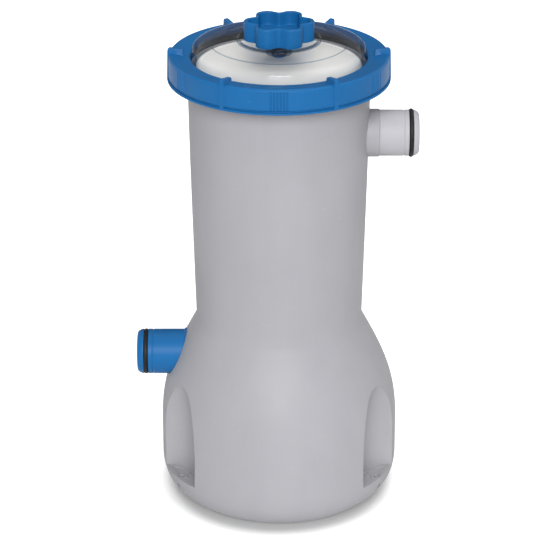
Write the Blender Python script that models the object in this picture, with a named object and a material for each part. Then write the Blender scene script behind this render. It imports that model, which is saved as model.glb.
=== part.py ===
"""Upright cartridge filter pump for an above-ground pool.

A flared bell holds the wet-rotor motor and the pump chamber, and the tall canister above it holds
a pleated filter cartridge under a clear lid, which a blue ring locks down.
+Z is up, -Y is the front, the upper hose port points to +X and the lower one to -X.
The origin is the centre of the underside, and every joint's axis is the Z axis through it.
"""

import math

import bmesh
import bpy
from mathutils import Matrix

MM = 0.001
GAP = 0.3 * MM  # clearance between pieces that touch on the real pump

# ---------------------------------------------------------------- driving dimensions

# Housing, outside
FOOT_R = 64.7 * MM  # flat rim under the rounded base
BELL_R = 84.1 * MM
BELL_ROUND_TOP = 29.5 * MM  # where the rounded base turns into the straight wall
BELL_STRAIGHT_TOP = 54.0 * MM
CREASE_R, CREASE_Z = 58.5 * MM, 134.5 * MM  # the shoulder meets the canister
CANISTER_MID, CANISTER_MID_Z = 61.5 * MM, 247.0 * MM  # the draft eases off above this
CANISTER_R, CANISTER_TOP = 62.6 * MM, 309.5 * MM
COLLAR_R, COLLAR_Z = 66.5 * MM, 312.0 * MM  # threaded collar behind the lock ring
RIM_Z = 320.5 * MM
WALL = 3.0 * MM

# Canister, inside
FLOOR_Z, FLOOR_UNDER = 178.0 * MM, 174.5 * MM
SEAT_R, SEAT_Z = 34.0 * MM, 184.7 * MM  # ring that the cartridge stands on
SPIGOT_R, SPIGOT_Z = 22.6 * MM, 192.0 * MM  # the cartridge's lower end slips over it
DRAIN_R = 14.0 * MM
SOCKET_IN, SOCKET_OUT = 16.2 * MM, 19.0 * MM  # sockets for the suction duct
SOCKET_Z = 166.0 * MM

# Foot pockets: round scoops that close in an arch, each with a screw hole in its ledge
POCKET_ANGLES = (-150, -30, 30, 150)
SCOOP_R, SCOOP_AT = 28.2 * MM, 96.7 * MM  # radius, and how far out its axis stands
LEDGE_Z, SCOOP_SPRING, SCOOP_TOP = 25.0 * MM, 32.5 * MM, 115.5 * MM
FOOT_HOLE_R, FOOT_HOLE_AT = 2.4 * MM, 80.4 * MM

# Hose ports
PORT_R = 16.0 * MM  # 32 mm hose
PORT_BORE = 12.0 * MM
UPPER_Z, UPPER_TIP = 271.0 * MM, 96.4 * MM
BOSS_R, BOSS_END = 16.9 * MM, 69.0 * MM
SPIGOT_TUBE_R = 14.0 * MM  # the upper port's own spigot, inside the boss
LOWER_Z, LOWER_TIP = 104.4 * MM, 101.1 * MM
LOWER_ROOT = 54.0 * MM
ORING_BACK = 5.5 * MM  # centre of the O-ring, back from the port's tip

# Base plate and the screws
PLATE_R, PLATE_T = 61.2 * MM, 3.0 * MM
SCREW_R, PILOT_R, HOLE_R = 1.6 * MM, 1.9 * MM, 2.1 * MM
BASE_SCREW_AT = 56.0 * MM
MOUNT_SCREW_AT = 50.0 * MM
CASING_SCREW_AT = 42.0 * MM

# Motor and pump, stacked on the Z axis
CUP_R, CUP_LOW, CUP_TOP = 38.0 * MM, 9.0 * MM, 85.0 * MM
FLANGE_R, FLANGE_T = 46.0 * MM, 3.0 * MM
CAN_OUT, CAN_IN, CAN_LOW = 16.8 * MM, 15.2 * MM, 16.0 * MM
CAN_TOP = CUP_TOP + GAP + FLANGE_T
CASING_LOW = CAN_TOP + GAP
CHAMBER_R, CHAMBER_TOP = 32.0 * MM, 116.4 * MM
EYE_R = 11.5 * MM
TOP_FLANGE_R, TOP_FLANGE_Z = 54.0 * MM, 122.4 * MM
STATOR_LOW, STATOR_TOP = 34.0 * MM, 66.0 * MM
STATOR_R, STATOR_BORE = 35.0 * MM, 17.2 * MM
SLOTS = 6
SHAFT_R, BUSH_R = 2.5 * MM, 2.8 * MM
IMPELLER_R, IMPELLER_LOW, IMPELLER_TOP = 27.0 * MM, 89.6 * MM, 108.0 * MM
BLADES = 6

# Cable gland, at the back
GLAND_Z = 30.0 * MM
GLAND_BORE = 3.4 * MM

# Lid, ring and air valve
RING_R, RING_LOW, RING_TOP = 76.4 * MM, 311.3 * MM, 328.8 * MM
RING_OPENING = 60.5 * MM
RIB_COUNT = 6
LID_R, LID_FLANGE_R = 59.8 * MM, 68.0 * MM
LID_LOW, LID_TOP = 322.6 * MM, 337.6 * MM
LID_T = 2.4 * MM
VALVE_HOLE = 5.3 * MM
KNOB_MEAN, KNOB_WAVE, KNOB_WALL = 21.2 * MM, 2.8 * MM, 2.5 * MM
KNOB_LOW, KNOB_FLOOR, KNOB_TOP = 338.4 * MM, 341.0 * MM, 352.0 * MM
KNOB_T = 1.6 * MM
KNOB_LOBES = 6

# Cartridge
CARTRIDGE_R, CARTRIDGE_LOW, CARTRIDGE_TOP = 53.0 * MM, 185.0 * MM, 321.0 * MM
TOP_CAP_R = 56.6 * MM  # closed, and wide enough to centre the cartridge in the canister
CORE_R = 24.0 * MM
CAP_T = 5.5 * MM
PLEATS = 40

# Sides of a turned piece
LARGE, MEDIUM, SMALL, TINY = 36, 20, 12, 6
SCOOP_SIDES = 40
BEYOND = 20 * MM  # how far a tool reaches past what it cuts


# ---------------------------------------------------------------- making objects


def clear_scene():
    for thing in list(bpy.data.objects):
        bpy.data.objects.remove(thing, do_unlink=True)


def finish(name, colour, roughness, metallic=0.0):
    """A Principled material."""
    made = bpy.data.materials.new(name)
    made.use_nodes = True
    shader = made.node_tree.nodes["Principled BSDF"]
    shader.inputs["Base Color"].default_value = (*colour, 1.0)
    shader.inputs["Roughness"].default_value = roughness
    shader.inputs["Metallic"].default_value = metallic
    return made


def place(name, bm, coat=None, parent=None):
    """Makes the object from a bmesh. One with no coat is a cutter or a tool."""
    bmesh.ops.recalc_face_normals(bm, faces=bm.faces)
    mesh = bpy.data.meshes.new(name)
    bm.to_mesh(mesh)
    bm.free()
    mesh.shade_smooth()
    mesh.set_sharp_from_angle(angle=math.radians(35))
    made = bpy.data.objects.new(name, mesh)
    bpy.context.collection.objects.link(made)
    if coat is None:
        made.hide_render = True
        made.display_type = "WIRE"
    else:
        mesh.materials.append(coat)
    if parent:
        made.parent = parent
        made.matrix_parent_inverse = Matrix.Translation(-parent.location)
    return made


def boolean(target, tool, operation="DIFFERENCE"):
    step = target.modifiers.new(tool.name, "BOOLEAN")
    step.operation = operation
    step.solver = "EXACT"
    step.object = tool


def pivot(name, height):
    """An empty on the Z axis, for the pieces that move together."""
    made = bpy.data.objects.new(name, None)
    made.location.z = height
    bpy.context.collection.objects.link(made)
    return made


# ---------------------------------------------------------------- shapes, added to a bmesh


def lying(direction, height):
    """Turns a shape's own +Z into the world direction +X, -X or +Y, at a height."""
    turns = {"+X": ("Y", 90), "-X": ("Y", -90), "+Y": ("X", -90)}
    axis, degrees = turns[direction]
    return Matrix.Translation((0, 0, height)) @ Matrix.Rotation(math.radians(degrees), 4, axis)


def upright(degrees, radius=0.0):
    """Moves a shape out to a radius and turns it about Z, its +X outwards."""
    turn = Matrix.Rotation(math.radians(degrees), 4, "Z")
    return turn @ Matrix.Translation((radius, 0, 0))


def even_angles(steps, phase=0.0):
    return [2 * math.pi * (i + phase) / steps for i in range(steps)]


def no_wave(angle):
    return 0.0, 0.0


def add_turned(bm, profile, matrix=None, steps=SMALL, angles=None, wave=no_wave):
    """Turns a closed profile about Z. Each point is radius, height and, if it follows the wave,
    its share of the wave's radius and height at each angle. A shape moved by a matrix starts half
    a step round, so that its corners don't fall on the corners of the pieces around it."""
    angles = angles or even_angles(steps, 0.5 if matrix else 0.0)
    rings = []
    for radius, height, *share in profile:
        k = share[0] if share else 0.0
        if radius == 0:
            rings.append([bm.verts.new((0, 0, height))] * len(angles))
            continue
        ring = []
        for angle in angles:
            out, up = wave(angle)
            r = radius + k * out
            ring.append(bm.verts.new((r * math.cos(angle), r * math.sin(angle), height + k * up)))
        rings.append(ring)
    made = {v for ring in rings for v in ring}
    for low, high in zip(rings, rings[1:] + rings[:1]):
        for i in range(len(angles)):
            j = (i + 1) % len(angles)
            corners = list(dict.fromkeys((low[i], low[j], high[j], high[i])))
            if len(corners) > 2:
                bm.faces.new(corners)
    if matrix:
        bmesh.ops.transform(bm, matrix=matrix, verts=list(made))


def add_prism(bm, outline, low, high, matrix=None):
    """Extrudes an outline of (x, y) points from low to high."""
    bottom = [bm.verts.new((x, y, low)) for x, y in outline]
    face = bm.faces.new(bottom)
    grown = bmesh.ops.extrude_face_region(bm, geom=[face])["geom"]
    top = [v for v in grown if isinstance(v, bmesh.types.BMVert)]
    bmesh.ops.translate(bm, vec=(0, 0, high - low), verts=top)
    if matrix:
        bmesh.ops.transform(bm, matrix=matrix, verts=bottom + top)


def add_box(bm, x, y, z, matrix=None):
    """A box over the ranges x, y and z, each (low, high)."""
    outline = [(x[0], y[0]), (x[1], y[0]), (x[1], y[1]), (x[0], y[1])]
    add_prism(bm, outline, z[0], z[1], matrix)


def rod(radius, low, high):
    """Profile of a solid cylinder."""
    return [(0, low), (radius, low), (radius, high), (0, high)]


def ring(inner, outer, low, high):
    """Profile of a tube."""
    return [(inner, low), (outer, low), (outer, high), (inner, high)]


def circle(radius, section, height, points=8):
    """Profile of an O-ring."""
    return [
        (radius + section * math.cos(a), height + section * math.sin(a))
        for a in even_angles(points)
    ]


def curve(start, pull, draw, end, steps):
    """Points of a cubic Bezier after its start."""
    points = []
    for i in range(1, steps + 1):
        t = i / steps
        weights = ((1 - t) ** 3, 3 * t * (1 - t) ** 2, 3 * t * t * (1 - t), t**3)
        points.append(
            tuple(
                sum(w * p[axis] for w, p in zip(weights, (start, pull, draw, end)))
                for axis in (0, 1)
            )
        )
    return points


def turned(name, profile, coat, parent=None, **how):
    bm = bmesh.new()
    add_turned(bm, profile, **how)
    return place(name, bm, coat, parent)


def screw(name, angle, radius, head_low, head_r, head_t, tip, coat):
    """A pan-head screw, driven upwards."""
    neck = head_low + head_t
    soft = 0.5 * MM
    profile = [
        (0, head_low),
        (head_r - soft, head_low),
        (head_r, head_low + soft),
        (head_r, neck),
        (SCREW_R, neck),
        (SCREW_R, tip - SCREW_R),
        (0, tip),
    ]
    return turned(name, profile, coat, matrix=upright(angle, radius), steps=TINY)


# ---------------------------------------------------------------- housing

SCREW_ANGLES = (0, 90, 180, 270)
DIAGONALS = (45, 135, 225, 315)
RIB_TOP, RIB_IN, RIB_HALF = 16.0 * MM, 51.0 * MM, 4.5 * MM
PILLAR_R = 7.0 * MM


def bell_outline(inset, steps):
    """The bell's wall from the foot to the crease, moved in by the wall's thickness."""
    foot = (FOOT_R - inset, 0.0)
    rounded = (BELL_R - inset, BELL_ROUND_TOP)
    straight = (BELL_R - inset, BELL_STRAIGHT_TOP)
    crease = (CREASE_R - inset, CREASE_Z - inset / 2)
    rounding = curve(
        foot,
        (FOOT_R - inset + 14.3 * MM, 7.5 * MM),
        (BELL_R - inset, 15.0 * MM),
        rounded,
        steps,
    )
    shoulder = curve(
        straight,
        (BELL_R - inset, 84.5 * MM - inset / 2),
        (77.0 * MM - inset, 100.5 * MM - inset / 2),
        crease,
        steps,
    )
    return [foot, *rounding, straight, *shoulder]


def housing_solid(coat):
    """The outside and the canister's inside, with the bell still solid."""
    soft = 1.2 * MM
    wall_top = CANISTER_R - WALL
    wall_low = CREASE_R + 0.8 * MM - WALL
    profile = [
        (0, 0),
        *bell_outline(0.0, 5),
        (CANISTER_MID, CANISTER_MID_Z),
        (CANISTER_R, CANISTER_TOP),
        (COLLAR_R, COLLAR_Z),
        (COLLAR_R, RIM_Z),
        (wall_top, RIM_Z),
        (wall_low, FLOOR_Z + 3 * soft),
        (wall_low - soft, FLOOR_Z + soft),
        (wall_low - 3 * soft, FLOOR_Z),
        (SEAT_R, FLOOR_Z),
        (SEAT_R, SEAT_Z),
        (SPIGOT_R, SEAT_Z),
        (SPIGOT_R, SPIGOT_Z - soft),
        (SPIGOT_R - soft, SPIGOT_Z),
        (DRAIN_R, SPIGOT_Z),
        (DRAIN_R, SPIGOT_Z - 8 * MM),
        (0, SPIGOT_Z - 8 * MM),
    ]
    return turned("housing", profile, coat, steps=LARGE)


def add_scoop(bm, angle, grow, low):
    """A foot pocket's upright cylinder, from a height up to its domed top."""
    reach, rise = SCOOP_R + grow, SCOOP_TOP - SCOOP_SPRING + grow
    steps = 7
    profile = [(0, low), (reach, low)]
    for i in range(steps):
        turn = 0.5 * math.pi * i / steps
        profile.append((reach * math.cos(turn), SCOOP_SPRING + rise * math.sin(turn)))
    profile.append((0, SCOOP_SPRING + rise))
    add_turned(bm, profile, upright(angle, SCOOP_AT), steps=SCOOP_SIDES)


def bell_cavity():
    """The hollow of the bell, less the solid blocks that stay inside it."""
    inside = bell_outline(WALL + 0.2 * MM, 3)
    lowest = (inside[0][0], -2 * MM)
    under = CREASE_R - WALL - 0.2 * MM
    profile = [
        (0, -2 * MM),
        lowest,
        *inside,
        (under, FLOOR_UNDER),
        (0, FLOOR_UNDER),
    ]
    cavity = turned("bell_cavity", profile, None, steps=LARGE)

    blocks = bmesh.new()
    for angle in POCKET_ANGLES:
        add_scoop(blocks, angle, WALL, -BEYOND)
    for angle in SCREW_ANGLES:
        add_box(
            blocks,
            (RIB_IN, BELL_R + BEYOND),
            (-RIB_HALF, RIB_HALF),
            (PLATE_T + GAP, RIB_TOP),
            upright(angle),
        )
    for angle in DIAGONALS:
        add_turned(
            blocks,
            rod(PILLAR_R, TOP_FLANGE_Z + GAP, FLOOR_UNDER + BEYOND),
            upright(angle, MOUNT_SCREW_AT),
            steps=TINY,
        )
    socket = ring(SOCKET_IN, SOCKET_OUT, SOCKET_Z, FLOOR_UNDER + BEYOND)
    add_turned(blocks, socket, steps=SMALL)
    boolean(cavity, place("bell_blocks", blocks))
    return cavity


def housing_cuts():
    """Foot pockets, openings for the ports and the gland, and pilot holes, as one tool."""
    cuts = bmesh.new()
    for angle in POCKET_ANGLES:
        add_scoop(cuts, angle, 0.0, LEDGE_Z)
    for angle in SCREW_ANGLES:
        pilot = rod(PILOT_R, -BEYOND, RIB_TOP - 2 * MM)
        add_turned(cuts, pilot, upright(angle, BASE_SCREW_AT), steps=TINY)
    for angle in DIAGONALS:
        pilot = rod(PILOT_R, TOP_FLANGE_Z - MM, TOP_FLANGE_Z + 14 * MM)
        add_turned(cuts, pilot, upright(angle, MOUNT_SCREW_AT), steps=TINY)
    upper = rod(SPIGOT_TUBE_R + GAP, CARTRIDGE_R + 2 * MM, BOSS_END + BEYOND)
    add_turned(cuts, upper, lying("+X", UPPER_Z), steps=MEDIUM)
    lower = rod(PORT_R + GAP, LOWER_ROOT, LOWER_TIP)
    add_turned(cuts, lower, lying("-X", LOWER_Z), steps=MEDIUM)
    gland = rod(GLAND_SHANK_R + GAP, BELL_R - 10 * MM, BELL_R + BEYOND)
    add_turned(cuts, gland, lying("+Y", GLAND_Z), steps=SMALL)
    add_turned(cuts, rod(DRAIN_R - MM, FLOOR_UNDER - MM, SPIGOT_Z - 6 * MM), steps=SMALL)
    return place("housing_cuts", cuts)


def foot_holes():
    holes = bmesh.new()
    for angle in POCKET_ANGLES:
        hole = rod(FOOT_HOLE_R, -MM, LEDGE_Z + MM)
        add_turned(holes, hole, upright(angle, FOOT_HOLE_AT), steps=TINY)
    return place("foot_holes", holes)


def helical_lug(bm, start, low, inner, outer, thick, sweep=60.0, rise=1.5 * MM, steps=5):
    """One stretch of a coarse thread, from a start angle in degrees, with tapered ends."""
    bars = []
    for i in range(steps + 1):
        t = i / steps
        angle = math.radians(start + sweep * t)
        full = min(1.0, 4 * t + 0.3, 4 * (1 - t) + 0.3)
        middle = low + rise * t + thick / 2
        half = thick / 2 * full
        reach = ((inner, middle - half), (outer, middle - half * 0.6))
        back = ((outer, middle + half * 0.6), (inner, middle + half))
        bars.append(
            [bm.verts.new((r * math.cos(angle), r * math.sin(angle), z)) for r, z in (*reach, *back)]
        )
    for near, far in zip(bars, bars[1:]):
        for i in range(4):
            j = (i + 1) % 4
            bm.faces.new((near[i], near[j], far[j], far[i]))
    bm.faces.new(bars[0])
    bm.faces.new(bars[-1][::-1])


LUG_ANGLES = (0, 90, 180, 270)
COLLAR_LUG_R = 69.8 * MM
RING_LUG_R = 70.4 * MM
RING_INSIDE = 72.8 * MM


def housing_extras():
    """The upper port's boss and the thread on the collar, as one tool."""
    extras = bmesh.new()
    add_turned(extras, rod(BOSS_R, 59 * MM, BOSS_END), lying("+X", UPPER_Z), steps=MEDIUM)
    for start in LUG_ANGLES:
        helical_lug(extras, start, 314.2 * MM, COLLAR_R - MM, COLLAR_LUG_R, 3.0 * MM)
    return place("housing_extras", extras)


def make_housing(coat):
    housing = housing_solid(coat)
    boolean(housing, bell_cavity())
    boolean(housing, housing_extras(), "UNION")
    boolean(housing, housing_cuts())
    boolean(housing, foot_holes())
    return housing


# ---------------------------------------------------------------- base


def make_base(plastic, steel):
    sink = 3.9 * MM
    profile = [
        (0, 0),
        (PLATE_R - MM, 0),
        (PLATE_R, MM),
        (PLATE_R, PLATE_T),
        (43 * MM, PLATE_T),
        (43 * MM, PLATE_T + 4 * MM),
        (41 * MM, PLATE_T + 4 * MM),
        (41 * MM, PLATE_T),
        (0, PLATE_T),
    ]
    plate = turned("base_plate", profile, plastic, steps=MEDIUM)
    cuts = bmesh.new()
    for angle in SCREW_ANGLES:
        hole = [
            (0, -MM),
            (sink, -MM),
            (sink, 1.9 * MM),
            (HOLE_R, 1.9 * MM),
            (HOLE_R, PLATE_T + MM),
            (0, PLATE_T + MM),
        ]
        add_turned(cuts, hole, upright(angle, BASE_SCREW_AT), steps=TINY)
    boolean(plate, place("base_plate_cuts", cuts))
    for number, angle in enumerate(SCREW_ANGLES, 1):
        screw(
            f"base_screw_{number}",
            angle,
            BASE_SCREW_AT,
            0.4 * MM,
            3.4 * MM,
            1.2 * MM,
            13 * MM,
            steel,
        )


# ---------------------------------------------------------------- hose ports

GROOVE_R, GROOVE_HALF = 13.9 * MM, 1.6 * MM
ORING_R, ORING_SECTION = 15.5 * MM, 1.35 * MM


def port_end(tip):
    """Profile points from behind the O-ring groove to the bore at the port's tip."""
    seat = tip - ORING_BACK
    return [
        (PORT_R, seat - GROOVE_HALF),
        (GROOVE_R, seat - GROOVE_HALF),
        (GROOVE_R, seat + GROOVE_HALF),
        (PORT_R, seat + GROOVE_HALF),
        (PORT_R - 0.2 * MM, tip - 3.0 * MM),
        (PORT_R - 1.3 * MM, tip - 0.9 * MM),
        (PORT_R - 2.6 * MM, tip),
        (PORT_BORE, tip),
    ]


def make_ports(grey, blue, rubber):
    shoulder = BOSS_END + GAP
    upper = [
        (PORT_BORE, 58 * MM),
        (SPIGOT_TUBE_R, 58 * MM),
        (SPIGOT_TUBE_R, shoulder),
        (PORT_R, shoulder),
        *port_end(UPPER_TIP),
    ]
    turned("upper_hose_port", upper, grey, matrix=lying("+X", UPPER_Z), steps=MEDIUM)
    wide = SOCKET_TIP_R + GAP
    step = CASING_PORT_TIP + GAP + SEAL_T + GAP
    lower = [
        (wide, LOWER_ROOT),
        (PORT_R, LOWER_ROOT),
        *port_end(LOWER_TIP),
        (PORT_BORE, step),
        (wide, step),
    ]
    turned("lower_hose_connector", lower, blue, matrix=lying("-X", LOWER_Z), steps=MEDIUM)
    for name, tip, direction, height in (
        ("upper_port_oring", UPPER_TIP, "+X", UPPER_Z),
        ("lower_port_oring", LOWER_TIP, "-X", LOWER_Z),
    ):
        profile = circle(ORING_R, ORING_SECTION, tip - ORING_BACK)
        turned(name, profile, rubber, matrix=lying(direction, height), steps=MEDIUM)
    low = CASING_PORT_TIP + GAP
    seal = ring(CASING_PORT_BORE + 0.5 * MM, SOCKET_TIP_R - 0.2 * MM, low, low + SEAL_T)
    turned("lower_port_seal", seal, rubber, matrix=lying("-X", LOWER_Z), steps=SMALL)


# ---------------------------------------------------------------- pump

SOCKET_TIP_R = 12.9 * MM  # the casing's outlet, inside the lower connector
CASING_PORT_BORE = 10.2 * MM
CASING_PORT_TIP = 60.0 * MM
SEAL_T = 1.6 * MM
CASING_WALL = 3.5 * MM
DUCT_R, DUCT_BORE = 15.8 * MM, 13.0 * MM
DUCT_LOW, DUCT_TOP = TOP_FLANGE_Z + GAP, 171.0 * MM
DUCT_SEALS = (128 * MM, 168.5 * MM)
SEAL_AT, SEAL_SECTION = 39.5 * MM, 0.95 * MM
HUB_R = 7.6 * MM


def make_casing(plastic):
    outer = CHAMBER_R + CASING_WALL
    groove = SEAL_SECTION + 0.6 * MM
    profile = [
        (CHAMBER_R, CASING_LOW),
        (SEAL_AT - groove, CASING_LOW),
        (SEAL_AT - groove, CASING_LOW + 2 * MM),
        (SEAL_AT + groove, CASING_LOW + 2 * MM),
        (SEAL_AT + groove, CASING_LOW),
        (FLANGE_R, CASING_LOW),
        (FLANGE_R, CASING_LOW + FLANGE_T),
        (outer, CASING_LOW + FLANGE_T),
        (outer, TOP_FLANGE_Z - FLANGE_T),
        (TOP_FLANGE_R, TOP_FLANGE_Z - FLANGE_T),
        (TOP_FLANGE_R, TOP_FLANGE_Z),
        (SOCKET_OUT, TOP_FLANGE_Z),
        (SOCKET_OUT, TOP_FLANGE_Z + 12 * MM),
        (SOCKET_IN, TOP_FLANGE_Z + 12 * MM),
        (SOCKET_IN, TOP_FLANGE_Z),
        (EYE_R, TOP_FLANGE_Z),
        (EYE_R, CHAMBER_TOP),
        (CHAMBER_R, CHAMBER_TOP),
    ]
    casing = turned("pump_casing", profile, plastic, steps=MEDIUM)

    extras = bmesh.new()
    outlet = rod(SOCKET_TIP_R, CHAMBER_R + MM, CASING_PORT_TIP)
    add_turned(extras, outlet, lying("-X", LOWER_Z), steps=SMALL)
    for angle in DIAGONALS:
        boss = rod(4 * MM, CASING_LOW + FLANGE_T - 0.5 * MM, CASING_LOW + 12 * MM)
        add_turned(extras, boss, upright(angle, CASING_SCREW_AT), steps=TINY)
    boolean(casing, place("casing_extras", extras), "UNION")

    spider = bmesh.new()
    add_turned(spider, ring(BUSH_SEAT_R, HUB_R, CHAMBER_TOP, TOP_FLANGE_Z - GAP), steps=SMALL)
    for angle in (90, 210, 330):
        arms = bmesh.new()
        add_box(
            arms,
            (HUB_R - 0.8 * MM, EYE_R + MM),
            (-1.5 * MM, 1.5 * MM),
            (CHAMBER_TOP + 0.4 * MM, TOP_FLANGE_Z - 1.5 * MM),
            upright(angle),
        )
        boolean(casing, place(f"eye_arm_{angle}", arms), "UNION")
    boolean(casing, place("eye_hub", spider), "UNION")

    cuts = bmesh.new()
    outlet = rod(CASING_PORT_BORE, CHAMBER_R - 4 * MM, CASING_PORT_TIP + MM)
    add_turned(cuts, outlet, lying("-X", LOWER_Z), steps=SMALL)
    for angle in DIAGONALS:
        pilot = rod(PILOT_R, CASING_LOW - MM, CASING_LOW + 10.5 * MM)
        add_turned(cuts, pilot, upright(angle, CASING_SCREW_AT), steps=TINY)
        hole = rod(HOLE_R, TOP_FLANGE_Z - FLANGE_T - MM, TOP_FLANGE_Z + MM)
        add_turned(cuts, hole, upright(angle, MOUNT_SCREW_AT), steps=TINY)
    boolean(casing, place("casing_cuts", cuts))


def make_casing_seal(rubber):
    profile = circle(SEAL_AT, SEAL_SECTION, CASING_LOW + 0.85 * MM, 6)
    turned("casing_seal", profile, rubber, steps=MEDIUM)


def make_duct(plastic, rubber):
    """The tube that takes clean water from the cartridge's core down to the impeller's eye."""
    floor = 14.5 * MM
    half = 1.1 * MM
    profile = [(DUCT_BORE, DUCT_LOW), (DUCT_R, DUCT_LOW)]
    for height in DUCT_SEALS:
        profile += [
            (DUCT_R, height - half),
            (floor, height - half),
            (floor, height + half),
            (DUCT_R, height + half),
        ]
    profile += [(DUCT_R, DUCT_TOP), (DUCT_BORE, DUCT_TOP)]
    turned("suction_duct", profile, plastic, steps=SMALL)
    for name, height in zip(("duct_oring_lower", "duct_oring_upper"), DUCT_SEALS):
        turned(name, circle(15.35 * MM, 0.7 * MM, height, 6), rubber, steps=SMALL)


def make_screws(steel):
    for number, angle in enumerate(DIAGONALS, 1):
        under = TOP_FLANGE_Z - FLANGE_T - GAP
        screw(
            f"mount_screw_{number}",
            angle,
            MOUNT_SCREW_AT,
            under - 2.2 * MM,
            3.2 * MM,
            2.2 * MM,
            TOP_FLANGE_Z + 13 * MM,
            steel,
        )
        under = CUP_TOP - FLANGE_T - GAP
        screw(
            f"casing_screw_{number}",
            angle,
            CASING_SCREW_AT,
            under - 2.2 * MM,
            3.0 * MM,
            2.2 * MM,
            CASING_LOW + 10 * MM,
            steel,
        )


# ---------------------------------------------------------------- motor

BUSH_OUT = 5.1 * MM
BUSH_SEAT_R = BUSH_OUT + GAP
BUSH_T = 5.4 * MM
CAN_FLOOR = 2 * MM
WINDING_IN, WINDING_OUT = 19.8 * MM, 30.0 * MM
END_TURN = 6.5 * MM


def flange_holes(name, low, high):
    """Tool for the four screw holes through a motor or can flange."""
    cuts = bmesh.new()
    for angle in DIAGONALS:
        hole = rod(HOLE_R, low - MM, high + MM)
        add_turned(cuts, hole, upright(angle, CASING_SCREW_AT), steps=TINY)
    return place(name, cuts)


def make_cup(plastic, rubber):
    """The motor's outer shell, open at the top and closed by the can's flange."""
    wall = 2.4 * MM
    profile = [
        (0, CUP_LOW),
        (CUP_R - 2 * MM, CUP_LOW),
        (CUP_R, CUP_LOW + 2 * MM),
        (CUP_R, CUP_TOP - FLANGE_T),
        (FLANGE_R, CUP_TOP - FLANGE_T),
        (FLANGE_R, CUP_TOP),
        (CUP_R - wall, CUP_TOP),
        (CUP_R - wall, CUP_LOW + wall),
        (0, CUP_LOW + wall),
    ]
    cup = turned("motor_cup", profile, plastic, steps=MEDIUM)
    holes = flange_holes("motor_cup_holes", CUP_TOP - FLANGE_T, CUP_TOP)
    boolean(cup, holes)
    entry = bmesh.new()
    hole = rod(4.2 * MM, CUP_R - 5 * MM, CUP_R + 5 * MM)
    add_turned(entry, hole, lying("+Y", GLAND_Z), steps=SMALL)
    boolean(cup, place("lead_entry", entry))
    lead = 2.6 * MM
    grommet = [
        (lead, CUP_R - 1.5 * MM),
        (3.9 * MM, CUP_R - 1.5 * MM),
        (3.9 * MM, CUP_R + 0.3 * MM),
        (6.0 * MM, CUP_R + 0.3 * MM),
        (5.6 * MM, CUP_R + 2.3 * MM),
        (lead, CUP_R + 2.3 * MM),
    ]
    turned("lead_grommet", grommet, rubber, matrix=lying("+Y", GLAND_Z), steps=SMALL)


def make_can(plastic):
    """The wet rotor's can, one piece with the plate behind the impeller."""
    low = CAN_TOP - FLANGE_T
    profile = [
        (0, CAN_LOW),
        (CAN_OUT, CAN_LOW),
        (CAN_OUT, low),
        (FLANGE_R, low),
        (FLANGE_R, CAN_TOP),
        (CAN_IN, CAN_TOP),
        (CAN_IN, CAN_LOW + CAN_FLOOR),
        (BUSH_SEAT_R + 1.6 * MM, CAN_LOW + CAN_FLOOR),
        (BUSH_SEAT_R + 1.6 * MM, CAN_LOW + CAN_FLOOR + 4 * MM),
        (BUSH_SEAT_R, CAN_LOW + CAN_FLOOR + 4 * MM),
        (BUSH_SEAT_R, CAN_LOW + CAN_FLOOR),
        (0, CAN_LOW + CAN_FLOOR),
    ]
    can = turned("rotor_can", profile, plastic, steps=MEDIUM)
    boolean(can, flange_holes("rotor_can_holes", low, CAN_TOP))


def make_stator(steel, copper, dark):
    core = turned(
        "stator_core", ring(STATOR_BORE, STATOR_R, STATOR_LOW, STATOR_TOP), steel, steps=MEDIUM
    )
    slots = bmesh.new()
    bars = bmesh.new()
    half = 4.6 * MM
    clear = 0.4 * MM
    for i in range(SLOTS):
        place_at = upright(30 + 360 / SLOTS * i)
        add_box(
            slots,
            (WINDING_IN - clear, WINDING_OUT + clear),
            (-half - clear, half + clear),
            (STATOR_LOW - 5 * MM, STATOR_TOP + 5 * MM),
            place_at,
        )
        add_box(
            bars,
            (WINDING_IN, WINDING_OUT),
            (-half, half),
            (STATOR_LOW - 3 * MM, STATOR_TOP + 3 * MM),
            place_at,
        )
    boolean(core, place("stator_slots", slots))

    soft = 2 * MM
    inner, outer = WINDING_IN - 0.8 * MM, WINDING_OUT + 1.5 * MM
    ends = bmesh.new()
    for low in (STATOR_LOW - clear - END_TURN, STATOR_TOP + clear):
        high = low + END_TURN
        profile = [
            (inner, low + soft),
            (inner + soft, low),
            (outer - soft, low),
            (outer, low + soft),
            (outer, high - soft),
            (outer - soft, high),
            (inner + soft, high),
            (inner, high - soft),
        ]
        add_turned(ends, profile, steps=SMALL)
    windings = place("stator_windings", ends, copper)
    boolean(windings, place("winding_bars", bars), "UNION")

    cutout = bmesh.new()
    low = STATOR_TOP + clear + END_TURN + GAP
    add_box(cutout, (19.5 * MM, 32 * MM), (-4 * MM, 4 * MM), (low, low + 4 * MM))
    thermal = place("thermal_cutout", cutout, dark)
    edge = thermal.modifiers.new("rounded_edges", "BEVEL")
    edge.width = 0.6 * MM
    edge.segments = 2


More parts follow.
